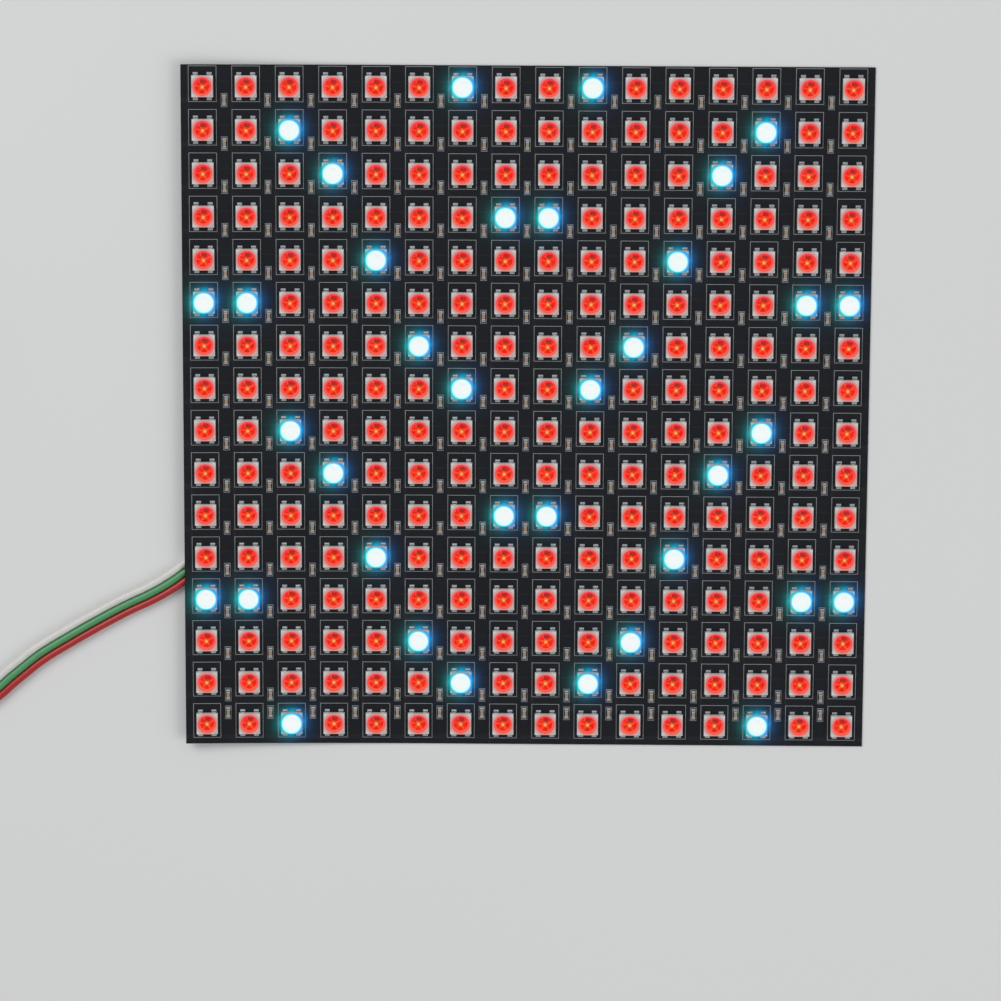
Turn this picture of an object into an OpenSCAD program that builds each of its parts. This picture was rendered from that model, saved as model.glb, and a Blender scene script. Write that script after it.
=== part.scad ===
// Square panel of addressable lamps on a flexible printed circuit, lying face up.
// Its left margin rides up over the panel's own three-wire lead. Millimetres, +Z up.

/* [Panel] */
// Lamps in a row
columns = 16; // [4:2:16]
// Rows of lamps
rows = 16; // [4:1:16]
// Distance from one lamp to the next
pitch = 10; // [9:0.5:20]
// Thickness of the flexible circuit
sheet_t = 0.25; // [0.2:0.05:0.6]
// Depth of the openings in the back mask that bare the copper
mask_t = 0.04; // [0.03:0.01:0.08]
// Solder film between a soldered piece and the sheet
solder_t = 0.03; // [0.02:0.01:0.08]

/* [Raised margin] */
// Width of the left margin that bends up off the table
rise_l = 60; // [50:1:75]
// Height of the left edge's back above the table
rise_h = 2.1; // [2.1:0.05:3]

/* [Lamp package] */
// Side of the square white housing
lamp_w = 5; // [4.8:0.1:5.4]
// Top of the housing above its feet
lamp_h = 1.57; // [1.4:0.01:1.9]
// How far each upper wall leans in from the parting line to the top
draft = 0.06; // [0.02:0.01:0.15]
// Diameter of the cup at its rim
cup_rim_d = 4.2; // [3.8:0.05:4.4]
// Diameter of the cup's floor
cup_floor_d = 3.3; // [2.8:0.05:3.6]
// Depth of the cup
cup_depth = 0.95; // [0.7:0.05:1.05]
// Leg of the corner notch that marks pin one
notch_leg = 1; // [0.8:0.05:1.1]
// Depth of the corner notch
notch_depth = 0.45; // [0.2:0.05:0.6]
// How far the clear filling stays below the rim
lens_drop = 0.06; // [0.02:0.01:0.2]
// Clearance between the filling and the wall of the cup
lens_gap = 0.01; // [0.01:0.01:0.05]

/* [Lamp terminals] */
// Width of a terminal
terminal_w = 0.9; // [0.7:0.05:1.2]
// Thickness of the terminal strip
terminal_t = 0.2; // [0.12:0.01:0.22]
// Height of a terminal's upright leg
terminal_h = 0.75; // [0.5:0.05:0.8]
// Length of a foot under the housing
foot_l = 0.75; // [0.5:0.05:0.9]
// Distance from the top of the terminals' legs up to the housing's parting line
parting_gap = 0.1; // [0.05:0.01:0.15]
// Distance between the two terminals of a side
pin_pitch = 3.2; // [2.6:0.1:3.6]
// Height of the housing's belly above its feet
belly_z = 0.05; // [0:0.01:0.1]
// Clearance between a foot's end and the belly
belly_gap = 0.15; // [0.1:0.05:0.4]

/* [Capacitors] */
// Length of a chip capacitor
cap_l = 1.6; // [1.2:0.1:2]
// Width and height of its metal ends
cap_w = 0.8; // [0.6:0.05:1]
// Length of a metal end
cap_end_l = 0.35; // [0.2:0.05:0.4]
// How far the ceramic lies below the metal ends
cap_step = 0.03; // [0.01:0.01:0.06]
// Distance from a lamp's centre line down to its capacitor
cap_drop = 3.2; // [3:0.1:3.6]
// Distance from the last row's centre line up to its capacitors
cap_lift = 2.5; // [2:0.1:3]

/* [Back pads] */
// Length of a lead pad
pad_l = 3.4; // [2.8:0.1:4]
// Width of a lead pad
pad_w = 1.8; // [1.5:0.05:2]
// Distance between lead pads
pad_pitch = 2.54; // [2.3:0.01:3]
// Distance from the side edge to the middle of the lead pads
pad_inset = 8; // [8:0.1:9]
// Distance from the middle of the panel down to the middle lead pad
pad_drop = 36.8; // [30:0.1:38]
// Side of the two square power pads
power_pad_w = 4; // [3:0.5:6]
// Distance between the power pads' centres
power_pitch = 7; // [6.5:0.5:12]

/* [Lead] */
// Diameter of a wire over its insulation
wire_d = 1.7; // [1.3:0.05:1.7]
// Diameter of the stranded conductor
core_d = 0.75; // [0.5:0.05:0.8]
// Bare conductor between the insulation and the solder
bare_l = 0.9; // [0.4:0.1:0.9]
// Distance between the wires where they run side by side
wire_pitch = 1.75; // [1.72:0.01:2]
// Height of a solder joint's middle above the table
joint_z = 0.85; // [0.85:0.05:1]
// Width of a solder joint
joint_w = 1.5; // [1.3:0.05:1.6]
// Length of a solder joint
joint_l = 2.9; // [2.4:0.1:2.9]

/* [Plug] */
// Distance between the contacts
plug_pitch = 2.5; // [2.5:0.05:3]
// Length of the plug
plug_l = 19; // [18:0.5:24]
// Width of the rear block
plug_w = 10; // [9.8:0.1:13]
// Height of the rear block
plug_h = 5.2; // [4.6:0.1:6]
// Length of the rear block
rear_l = 8; // [7:0.5:9]
// Step from the rear block to the slimmer nose, all round
nose_step = 0.5; // [0.3:0.05:0.7]
// Side of a contact's square cavity
cavity_w = 2; // [1.9:0.05:2.1]
// Clearance round a contact in its cavity
contact_gap = 0.1; // [0.05:0.01:0.15]
// Wall of a contact's square box
contact_t = 0.25; // [0.15:0.05:0.35]
// Length of a contact's box
box_l = 7; // [5:0.5:8]
// Length of the crimp behind the box
crimp_l = 4; // [3:0.5:4.5]
// Diameter of the crimp
crimp_d = 1.3; // [1:0.1:1.5]
// How far a wire reaches into the plug
wire_in = 4; // [3:0.5:5]
// Width of the latch arm
latch_w = 4; // [3:0.1:5]
// Thickness of the latch arm
latch_t = 0.8; // [0.6:0.05:1]
// Gap between the latch arm and the rear block
latch_gap = 0.3; // [0.2:0.05:0.8]
// Length of the latch's root on the nose
root_l = 2; // [1.5:0.5:3]
// How far the latch's root stays behind the plug's front
root_inset = 1; // [0.5:0.5:2]
// Height of the latch's catch and of its thumb pad above the arm
catch_h = 0.6; // [0.4:0.05:0.8]
// Distance from the plug's rear face to the steep side of the catch
catch_y = 10.5; // [9.5:0.5:11]
// Length of the flat on top of the catch, and of the ramp in front of it
catch_l = 1; // [0.8:0.1:1.5]
// Length of the thumb pad
thumb_l = 2; // [1.5:0.5:3]
// Distance from the plug's rear face to the thumb pad
thumb_y = 1; // [0.5:0.5:1.5]

/* [Hidden] */
cut = 1;            // how far a cutter stands out of what it cuts
wire_sides = 8;     // sides of a wire's tube
ease = 0.05;        // extra distance between the wires where they come together
sheet_w = columns * pitch;
sheet_l = rows * pitch;
left = -sheet_w / 2;
top = sheet_l / 2;
rise_x = left + rise_l;                                 // line where the margin leaves the table
bend_r = (rise_l * rise_l + rise_h * rise_h) / (2 * rise_h);  // radius of the margin's gentle bend
parting_z = terminal_h + parting_gap;                   // widest line of the housing
cup_z = lamp_h - cup_depth;
lens_z = lamp_h - lens_drop;
foot_y = lamp_w / 2 - foot_l;                           // inner end of a foot
belly_w = 2 * (foot_y - belly_gap);
lead_pad = [left + pad_inset, -pad_drop];               // middle pad of the lead's three
lead_at = [lead_pad.x - joint_l / 2 - bare_l, lead_pad.y];    // where the wires' insulation starts
nose_w = plug_w - 2 * nose_step;
nose_h = plug_h - 2 * nose_step;
axis_z = plug_h / 2;                                    // height of the contacts

// Centre line of the lead's middle wire from the start of its insulation, before it reaches
// the plug: out under the left edge, away from the panel, round a bend and back beside it.
route = [
    [0, 0, 0.85], [-2.7, -0.6, 0.85], [-5.5, -2.1, 0.85], [-9, -4.5, 0.85], [-13, -6.9, 0.85],
    [-20, -10.3, 0.85], [-27, -14.1, 0.85], [-34, -18.2, 0.85], [-40.5, -22.3, 0.85],
    [-44.5, -25.5, 0.85], [-47.5, -28, 0.85], [-50.5, -30.7, 0.85], [-53.6, -32.9, 0.85],
    [-57, -33.6, 0.85], [-60.2, -32.2, 0.85], [-62.3, -29.3, 0.85], [-63.1, -25.3, 0.85],
    [-63.2, -17, 0.85], [-62.7, -9, 0.85], [-62.3, -1, 0.85], [-62.2, 7, 0.85], [-62.5, 15, 0.85],
    [-63, 23, 0.9], [-63.4, 30, 1.2], [-63.5, 36, 2], [-63.5, 41, 2.6], [-63.5, 45, 2.6],
];
last = len(route) - 1;
plug_at = [lead_at.x + route[last].x, lead_at.y + route[last].y - wire_in];   // middle of its rear face

// Half distance between the outer wires: wide at the pads, close along the lead, wide at the plug.
function spread(i) =
    lookup(i, [[0, pad_pitch], [2, wire_pitch + ease], [3, wire_pitch], [last - 4, wire_pitch],
        [last - 1, plug_pitch], [last, plug_pitch]]);

// Each lamp column from the middle outwards shows the cool colour once in every seven rows,
// which draws a chevron figure; all the other lamps are red.
figure = [5, 5, 1, 2, 4, 6, 0, 3];
figure_rows = 7;
function cool(col, row) = row % figure_rows == figure[min(col, columns - 1 - col)];

function arc(s) = s / bend_r * 180 / PI;
function lamp_x(col) = left + (col + 0.5) * pitch;
function lamp_y(row) = top - (row + 0.5) * pitch;
function cup_r(z) = (cup_floor_d + (cup_rim_d - cup_floor_d) * (z - cup_z) / cup_depth) / 2;
function cap_y(row) = lamp_y(row) + (row == rows - 1 ? cap_lift : -cap_drop);

// The layer of the sheet between two depths, 0 at its back and sheet_t at its face, over a
// patch given on the flat sheet. What lies left of rise_x follows the bend.
module layer(x0, x1, y0, y1, z0, z1) {
    flat_x = max(x0, rise_x);
    bent_x = min(x1, rise_x);
    if (x1 > rise_x)
        translate([flat_x, y0, z0]) cube([x1 - flat_x, y1 - y0, z1 - z0]);
    if (x0 < rise_x)
        translate([rise_x, 0, bend_r]) rotate([-90, 90, 0]) rotate([0, 0, arc(rise_x - bent_x)])
            rotate_extrude(angle = arc(bent_x - x0), $fn = 256)
                translate([bend_r - z1, y0]) square([z1 - z0, y1 - y0]);
}

// Sets a piece on the sheet's face, square to it, one solder film up.
module seat(x, y) {
    if (x >= rise_x)
        translate([x, y, sheet_t + solder_t]) children();
    else
        translate([rise_x, y, bend_r]) rotate([0, arc(rise_x - x), 0])
            translate([0, 0, sheet_t + solder_t - bend_r]) children();
}

module pad_layer(x, y, w, l, z0, z1) {
    layer(x - w / 2, x + w / 2, y - l / 2, y + l / 2, z0, z1);
}

// The pads of the back: the lead's three, the same three for the next panel, and power.
module pad_patches(z0, z1) {
    for (side = [1, -1], i = [-1:1])
        pad_layer(side * lead_pad.x, side * lead_pad.y + i * pad_pitch, pad_l, pad_w, z0, z1);
    for (side = [1, -1])
        pad_layer(0, side * power_pitch / 2, power_pad_w, power_pad_w, z0, z1);
}

module flex_sheet() {
    color("#15171a") difference() {
        layer(left, -left, -top, top, 0, sheet_t);
        pad_patches(-cut, mask_t);
    }
}

module back_pads() {
    color("#c9a45a") pad_patches(0, mask_t);
}

// Outline of the housing as seen along one side: the upper walls lean in.
module housing_wall(foot) {
    half = lamp_w / 2;
    under = foot ? [[-half, terminal_t], [-belly_w / 2, terminal_t], [-belly_w / 2, belly_z],
        [belly_w / 2, belly_z], [belly_w / 2, terminal_t], [half, terminal_t]]
        : [[-half, 0], [half, 0]];
    linear_extrude(lamp_w, center = true)
        polygon(concat(under, [[half, parting_z], [half - draft, lamp_h],
            [draft - half, lamp_h], [-half, parting_z]]));
}

module housing() {
    difference() {
        intersection() {
            rotate([90, 0, 90]) housing_wall(true);
            rotate([90, 0, 0]) housing_wall(false);
        }
        rotate_extrude($fn = 48)
            polygon([[0, cup_z], [cup_r(cup_z), cup_z], [cup_r(lamp_h), lamp_h],
                [cup_r(lamp_h), lamp_h + cut], [0, lamp_h + cut]]);
        translate([lamp_w / 2, -lamp_w / 2, lamp_h - notch_depth]) rotate(45)
            translate([-notch_leg, -notch_leg * sqrt(0.5), 0])
                cube([2 * notch_leg, notch_leg * sqrt(2), notch_depth + cut]);
    }
}

module lens() {
    rotate_extrude($fn = 48)
        polygon([[0, cup_z], [cup_r(cup_z) - lens_gap, cup_z],
            [cup_r(lens_z) - lens_gap, lens_z], [0, lens_z]]);
}

// Four strips that leave the two sides, run down and fold in under the housing.
module terminals() {
    for (side = [0, 180], x = [-1, 1])
        rotate(side) translate([x * pin_pitch / 2, 0, 0]) rotate([90, 0, 90])
            linear_extrude(terminal_w, center = true)
                polygon([[foot_y, 0], [lamp_w / 2 + terminal_t, 0], [lamp_w / 2 + terminal_t, terminal_h],
                    [lamp_w / 2, terminal_h], [lamp_w / 2, terminal_t], [foot_y, terminal_t]]);
}

module housings(row) {
    color("#e9e8e2") for (col = [0:columns - 1]) seat(lamp_x(col), lamp_y(row)) housing();
}

module red_lenses(row) {
    color("#e84033") for (col = [0:columns - 1])
        if (!cool(col, row)) seat(lamp_x(col), lamp_y(row)) lens();
}

module cool_lenses() {
    color("#dff7ff") for (row = [0:rows - 1], col = [0:columns - 1])
        if (cool(col, row)) seat(lamp_x(col), lamp_y(row)) lens();
}

module lamp_terminals(row) {
    color("#c8cacc") for (col = [0:columns - 1]) seat(lamp_x(col), lamp_y(row)) terminals();
}

// One capacitor stands midway between each two lamps of a row.
module at_capacitors() {
    for (row = [0:rows - 1], col = [0:columns - 2])
        seat(lamp_x(col) + pitch / 2, cap_y(row)) children();
}

module capacitor_bodies() {
    color("#a08465") at_capacitors()
        translate([cap_step - cap_w / 2, cap_end_l - cap_l / 2, cap_step])
            cube([cap_w - 2 * cap_step, cap_l - 2 * cap_end_l, cap_w - 2 * cap_step]);
}

module capacitor_ends() {
    color("#c8cacc") at_capacitors() for (side = [0, 180]) rotate(side)
        translate([-cap_w / 2, cap_l / 2 - cap_end_l, 0]) cube([cap_w, cap_end_l, cap_w]);
}

// Solder hangs as a ridge from each lead pad, widest at the pad, and holds a wire's bare end.
module solder_joint() {
    r = joint_w / 2;
    rotate([0, -90, 0]) translate([route[0].z, 0, 0])
        cylinder(h = joint_l / 2 + bare_l, d = core_d, $fn = 32);
    intersection() {
        translate([-joint_l / 2, 0, joint_z]) {
            rotate([0, 90, 0]) cylinder(h = joint_l, r = r, $fn = 32);
            rotate([90, 0, 90]) linear_extrude(joint_l)
                polygon([[-r / 2, -r / 2], [r / 2, -r / 2], [pad_w / 2, r], [pad_w / 2, rise_h],
                    [-pad_w / 2, rise_h], [-pad_w / 2, r]]);
        }
        rotate([90, 0, 0]) linear_extrude(2 * pad_w, center = true)
            polygon([[joint_l / 2, 2 * rise_h], [-joint_l / 2, 2 * rise_h], [-joint_l / 2, joint_z],
                [r - joint_l / 2, joint_z - 2 * r], [joint_l / 2 - r, joint_z - 2 * r],
                [joint_l / 2, joint_z]]);
    }
}

module solder_joints() {
    reach = joint_l / 2 + bare_l + cut;
    color("#b9bcc0") for (i = [-1:1]) translate([0, i * pad_pitch, 0]) difference() {
        translate([lead_pad.x, lead_pad.y, 0]) solder_joint();
        layer(lead_pad.x - reach, lead_pad.x + reach, lead_pad.y - pad_w, lead_pad.y + pad_w,
            0, 3 * rise_h);
    }
}

// A wire's tube is a ring of points at each point of the route, turned square to the way the
// wire runs; side is -1, 0 or 1 for the wire to the left, in the middle or to the right.
function unit(v) = v / norm(v);
function way(i) =
    i == 0 ? [-1, 0] : i == last ? [0, 1]
    : let (d = route[i + 1] - route[i - 1]) unit([d.x, d.y]);
function across(i) = let (w = way(i)) [w.y, -w.x, 0];
function centre(i, side) = route[i] + side * spread(i) * across(i);
function ring(i, side) =
    [for (k = [0:wire_sides - 1]) let (a = 360 * k / wire_sides)
        centre(i, side) + wire_d / 2 * (cos(a) * across(i) + [0, 0, sin(a)])];

module wire(side) {
    n = wire_sides;
    points = [for (i = [0:last]) each ring(i, side)];
    walls = [for (i = [0:last - 1], k = [0:n - 1]) let (a = i * n + k, b = i * n + (k + 1) % n)
        each [[a, b, b + n], [a, b + n, a + n]]];
    start = [for (k = [0:n - 1]) n - 1 - k];
    end = [for (k = [0:n - 1]) last * n + k];
    translate([lead_at.x, lead_at.y, 0]) polyhedron(points, concat([start], walls, [end]));
}

module wire_white() { color("#dcdad2") wire(1); }
module wire_green() { color("#3f8f4a") wire(0); }
module wire_red() { color("#8e1f1c") wire(-1); }

// Box of a given width and height that runs forward from y0 to y1 about the contacts' line.
module bar(w, h, y0, y1) {
    translate([-w / 2, y0, axis_z - h / 2]) cube([w, y1 - y0, h]);
}

// Sprung arm over the nose: rooted at the front, with a catch half way and a thumb pad behind.
module latch() {
    root = plug_l - root_inset;
    under = plug_h + latch_gap;
    arm = under + latch_t;
    pad = arm + catch_h;
    rotate([90, 0, 90]) linear_extrude(latch_w, center = true)
        polygon([[root, nose_h], [root, arm - latch_t / 2], [root - latch_t / 2, arm],
            [catch_y + 2 * catch_l, arm], [catch_y + catch_l, pad], [catch_y, pad], [catch_y, arm],
            [thumb_y + thumb_l + catch_h, arm], [thumb_y + thumb_l, pad], [thumb_y, pad],
            [thumb_y, under], [root - root_l, under], [root - root_l, nose_h]]);
}

module plug_housing() {
    color("#1d1e20") translate([plug_at.x, plug_at.y, 0]) difference() {
        union() {
            bar(plug_w, plug_h, 0, rear_l);
            bar(nose_w, nose_h, 0, plug_l);
            latch();
        }
        for (i = [-1:1]) translate([i * plug_pitch, 0, 0]) bar(cavity_w, cavity_w, -cut, plug_l + cut);
    }
}

// A crimp that starts at the wire's end, and the box that takes the mating pin.
module plug_contacts() {
    box_w = cavity_w - 2 * contact_gap;
    box_y = wire_in + crimp_l;
    color("#c9a45a") translate([plug_at.x, plug_at.y, 0]) for (i = [-1:1])
        translate([i * plug_pitch, 0, 0]) difference() {
            union() {
                bar(box_w, box_w, box_y, box_y + box_l);
                translate([0, wire_in, axis_z]) rotate([-90, 0, 0])
                    cylinder(h = crimp_l, d = crimp_d, $fn = 24);
            }
            bar(box_w - 2 * contact_t, box_w - 2 * contact_t, box_y + contact_t, box_y + box_l + cut);
        }
}

function two(n) = n < 10 ? str("0", n) : str(n);
function row_name(kind, row) = str(kind, "_row_", two(row + 1));
function row_names(kind) = [for (row = [0:rows - 1]) row_name(kind, row)];

flex_sheet();
back_pads();
for (row = [0:rows - 1]) {
    housings(row);
    lamp_terminals(row);
    red_lenses(row);
}
cool_lenses();
capacitor_bodies();
capacitor_ends();
solder_joints();
wire_white();
wire_green();
wire_red();
plug_housing();
plug_contacts();
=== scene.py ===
# %% [markdown]
# # A lit lamp panel on a flexible circuit
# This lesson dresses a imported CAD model: 256 square lamps soldered in rows on a thin black
# circuit that lies on a table, with a three-wire lead under its left edge. The CAD part holds
# every size and place, and nothing here moves it. Each step first says what the real thing is,
# then how it could be made in Blender, and why it is made the way it is.

# %% Load the frame
import math

import bmesh
import bpy
import numpy as np
from mathutils import Matrix, Vector


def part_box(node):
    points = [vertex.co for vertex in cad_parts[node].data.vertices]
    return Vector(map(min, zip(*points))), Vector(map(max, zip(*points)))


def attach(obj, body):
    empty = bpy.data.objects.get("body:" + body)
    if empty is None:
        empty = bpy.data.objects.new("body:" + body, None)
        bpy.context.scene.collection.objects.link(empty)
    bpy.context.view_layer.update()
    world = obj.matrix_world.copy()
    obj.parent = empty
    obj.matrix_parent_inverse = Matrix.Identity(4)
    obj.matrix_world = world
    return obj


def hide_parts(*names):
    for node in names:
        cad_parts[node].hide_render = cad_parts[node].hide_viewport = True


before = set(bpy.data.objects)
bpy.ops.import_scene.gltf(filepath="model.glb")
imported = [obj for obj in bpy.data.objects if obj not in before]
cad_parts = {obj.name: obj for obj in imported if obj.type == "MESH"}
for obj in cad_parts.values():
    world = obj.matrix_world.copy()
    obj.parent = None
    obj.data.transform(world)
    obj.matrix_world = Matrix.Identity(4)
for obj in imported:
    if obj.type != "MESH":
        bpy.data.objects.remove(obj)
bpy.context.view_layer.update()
MM = 0.001      # sizes are metres; most are written in millimetres times this

# %% [markdown]
# ## The sheet that everything stands on
# The circuit is flat on the table but for its left margin, which rises along a gentle bend
# because it lies on its own lead. Anything soldered or printed on it has to follow that bend.
# One function that turns a place on the flat sheet into a place and a tilt in space serves them
# all, so it comes first. Its few sizes are the CAD model's own.

# %% Places on the sheet
sheet_low, sheet_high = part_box("flex_sheet")
LAMPS_A_SIDE = 16
PITCH = 2 * sheet_high.x / LAMPS_A_SIDE
HALF = LAMPS_A_SIDE * PITCH / 2
SHEET_T = 0.25 * MM
SOLDER_T = 0.03 * MM
RISE_X = -HALF + 60 * MM
RISE_H = 2.1 * MM
BEND_R = ((RISE_X + HALF) ** 2 + RISE_H ** 2) / (2 * RISE_H)


def bend_angle(x):
    """How far the sheet has turned at x, measured along the sheet."""
    return max(RISE_X - x, 0) / BEND_R


def on_sheet(x, y, depth):
    """The point at a height above the sheet's back, for a place measured on the flat sheet."""
    turn = bend_angle(x)
    if turn == 0:
        return Vector((x, y, depth))
    arm = BEND_R - depth
    return Vector((RISE_X - arm * math.sin(turn), y, BEND_R - arm * math.cos(turn)))


def lamp_place(column, row):
    return (column + 0.5) * PITCH - HALF, HALF - (row + 0.5) * PITCH


print(f"pitch {PITCH / MM:.2f} mm, bend radius {BEND_R / MM:.0f} mm,",
      f"left edge {on_sheet(-HALF, 0, 0).z / MM:.2f} mm up")

# %% [markdown]
# ## The camera
# The panel is seen nearly straight on, from about 0.9 m away through a long lens, a little from
# the side of its top row. It lies down here, so the camera looks down on it. Its place could be
# set by eye, but a turn about each axis and one offset say it exactly.

# %% Camera
CAMERA_DISTANCE = 0.9
CAMERA_TILT = math.radians(9.47)     # leans over from the top row's side
CAMERA_SWING = math.radians(0.56)
CAMERA_ROLL = math.radians(-0.37)
PANEL_IN_VIEW = Vector((5.93, 20.95)) * MM   # the panel's middle, right of and above the view's
FIELD_OF_VIEW = math.radians(14.78)
LIT_PLANE = 1.79 * MM                # height of the lamps' clear filling


def put_in_scene(name, data):
    """A new object at the origin, linked to the scene."""
    thing = bpy.data.objects.new(name, data)
    bpy.context.collection.objects.link(thing)
    return thing


def make_camera():
    camera = put_in_scene("camera", bpy.data.cameras.new("camera"))
    camera.data.sensor_width = 36
    camera.data.angle = FIELD_OF_VIEW
    camera.data.clip_start = 0.01
    turn = (Matrix.Rotation(CAMERA_ROLL, 4, "Z") @ Matrix.Rotation(-CAMERA_SWING, 4, "Y")
            @ Matrix.Rotation(CAMERA_TILT, 4, "X"))
    back = Vector((-PANEL_IN_VIEW.x, -PANEL_IN_VIEW.y, CAMERA_DISTANCE))
    camera.matrix_world = (Matrix.Translation((0, 0, LIT_PLANE)) @ turn.inverted()
                           @ Matrix.Translation(back))
    bpy.context.scene.camera = camera
    return camera


camera = make_camera()
print("camera stands at", [round(v, 3) for v in camera.matrix_world.translation])

# %% [markdown]
# ## Materials: a few small helpers
# Every finish below is a Principled shader with a little node work for colour, bump and light.
# One helper makes the shader and sets the numbers that are the same all over on its own sockets,
# where a game engine can read them. Another adds a node and wires its inputs in one line, and
# the rest are the sums and patterns that many finishes share. Dragging nodes about by hand would
# give the same trees, but recipes this short can be read and compared.

# %% A finish and its nodes
def finish_of(name, **sockets):
    """A new material, its Principled shader and its node tree; plain values by socket name."""
    material = bpy.data.materials.new(name)
    material.use_nodes = True
    shader = material.node_tree.nodes["Principled BSDF"]
    for socket, value in sockets.items():
        key = socket.replace("_", " ")
        shader.inputs[key].default_value = (*value, 1) if isinstance(value, tuple) else value
    return material, shader, material.node_tree


def add(tree, kind, *inputs, **settings):
    """A node of a kind; inputs are sockets or plain values, in the node's own order."""
    node = tree.nodes.new(kind)
    for key, value in settings.items():
        setattr(node, key, value)
    for socket, value in zip(node.inputs, inputs):
        if isinstance(value, bpy.types.NodeSocket):
            tree.links.new(value, socket)
        elif value is not None:
            socket.default_value = value
    return node


print("a finish starts from", bpy.app.version_string, "Principled BSDF")


# %% Sums and blends
def maths(tree, operation, *inputs):
    return add(tree, "ShaderNodeMath", *inputs, operation=operation).outputs[0]


def rise(tree, value, start, end):
    """0 before start, 1 after end and a smooth slope between; start may be the larger."""
    return add(tree, "ShaderNodeMapRange", value, start, end, 0.0, 1.0,
               interpolation_type="SMOOTHSTEP").outputs[0]


def blend(tree, share, first, second):
    """Colour between two others, by a share from 0 to 1."""
    node = tree.nodes.new("ShaderNodeMix")
    node.data_type = "RGBA"
    for socket, value in zip((node.inputs[0], node.inputs[6], node.inputs[7]), (share, first, second)):
        if isinstance(value, bpy.types.NodeSocket):
            tree.links.new(value, socket)
        else:
            socket.default_value = (*value, 1) if isinstance(value, tuple) else value
    return node.outputs[2]


def colour_by(tree, shader, share, first, second, socket="Base Color"):
    """Colour a finish between two others, by a share that changes over the surface."""
    tree.links.new(blend(tree, share, first, second), shader.inputs[socket])


BLACK = (0.0, 0.0, 0.0)
print("sums: maths, rise, blend and colour_by")


# %% What a surface knows of itself
def facing_up(tree):
    """How far a surface faces up, from 0 on a wall to 1 on a level top."""
    normal = tree.nodes.new("ShaderNodeNewGeometry").outputs["Normal"]
    return add(tree, "ShaderNodeSeparateXYZ", normal).outputs[2]


def object_noise(tree, scale, detail=3, stretch=(1, 1, 1)):
    """Noise fixed to the piece's own metres."""
    place = tree.nodes.new("ShaderNodeTexCoord").outputs["Object"]
    fitted = add(tree, "ShaderNodeMapping", place, None, None, stretch).outputs[0]
    return add(tree, "ShaderNodeTexNoise", fitted, None, scale, detail).outputs[0]


def roughen(tree, shader, height, strength, distance):
    bump = add(tree, "ShaderNodeBump", strength, distance)
    tree.links.new(height, bump.inputs["Height"])
    tree.links.new(bump.outputs[0], shader.inputs["Normal"])


print("patterns: facing_up, object_noise and roughen")

# %% [markdown]
# ## The lead
# Three soft stranded wires, white, green and dark red, run side by side from solder pads under
# the panel. They come out below its left edge, cross the table away from it, turn round and end
# in a small plug. A wire is a fixed length of something limp, so its centre line is a list of
# points given one by one; the outer two run at a distance that is wider at the pads and the plug.
# The points are the CAD model's. A Bezier curve with a round bevel keeps the wire smooth.

# %% Route of the lead
WIRE_D = 1.7 * MM
LEAD_AT = Vector((-74.35, -36.8)) * MM
ROUTE = [
    (0, 0, 0.85), (-2.7, -0.6, 0.85), (-5.5, -2.1, 0.85), (-9, -4.5, 0.85), (-13, -6.9, 0.85),
    (-20, -10.3, 0.85), (-27, -14.1, 0.85), (-34, -18.2, 0.85), (-40.5, -22.3, 0.85),
    (-44.5, -25.5, 0.85), (-47.5, -28, 0.85), (-50.5, -30.7, 0.85), (-53.6, -32.9, 0.85),
    (-57, -33.6, 0.85), (-60.2, -32.2, 0.85), (-62.3, -29.3, 0.85), (-63.1, -25.3, 0.85),
    (-63.2, -17, 0.85), (-62.7, -9, 0.85), (-62.3, -1, 0.85), (-62.2, 7, 0.85), (-62.5, 15, 0.85),
    (-63, 23, 0.9), (-63.4, 30, 1.2), (-63.5, 36, 2), (-63.5, 41, 2.6), (-63.5, 45, 2.6),
]
LAST = len(ROUTE) - 1
PAD_PITCH = 2.54
WIRE_PITCH = 1.75
PLUG_PITCH = 2.5
FIRST_BEND = WIRE_PITCH + 0.05      # the wires close up in a bend, and need a little more there
FAN = PLUG_PITCH - WIRE_PITCH
SPREAD = {0: PAD_PITCH, 1: (PAD_PITCH + FIRST_BEND) / 2, 2: FIRST_BEND, LAST - 3: WIRE_PITCH + FAN / 3,
          LAST - 2: WIRE_PITCH + FAN * 2 / 3, LAST - 1: PLUG_PITCH, LAST: PLUG_PITCH}


def across(i):
    """Unit vector to the right of the way the lead runs at a point of its route."""
    if i == 0:
        return Vector((0, 1, 0))
    if i == LAST:
        return Vector((1, 0, 0))
    way = Vector(ROUTE[i + 1]) - Vector(ROUTE[i - 1])
    return Vector((way.y, -way.x, 0)).normalized()


def wire_points(side):
    """Points of one wire in metres; side is -1 left, 0 middle, 1 right."""
    offset = Vector((LEAD_AT.x, LEAD_AT.y, 0))
    return [offset + (Vector(p) + side * SPREAD.get(i, WIRE_PITCH) * across(i)) * MM
            for i, p in enumerate(ROUTE)]


print(len(ROUTE), "points, wires", PAD_PITCH, "mm apart at the pads and", WIRE_PITCH, "mm along the lead")


# %% Insulation
def insulation(name, colour):
    """Soft plastic: slightly uneven gloss and colour, and a faint ripple from the strands."""
    material, shader, tree = finish_of(name, Base_Color=colour, Roughness=0.38, Coat_Weight=0.15,
                                       Coat_Roughness=0.25, Specular_IOR_Level=0.45)
    mottle = object_noise(tree, 900)
    darker = tuple(c * 0.82 for c in colour)
    colour_by(tree, shader, mottle, darker, colour)
    roughen(tree, shader, object_noise(tree, 1600, 2), 0.12, 0.0001)
    return material


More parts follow.
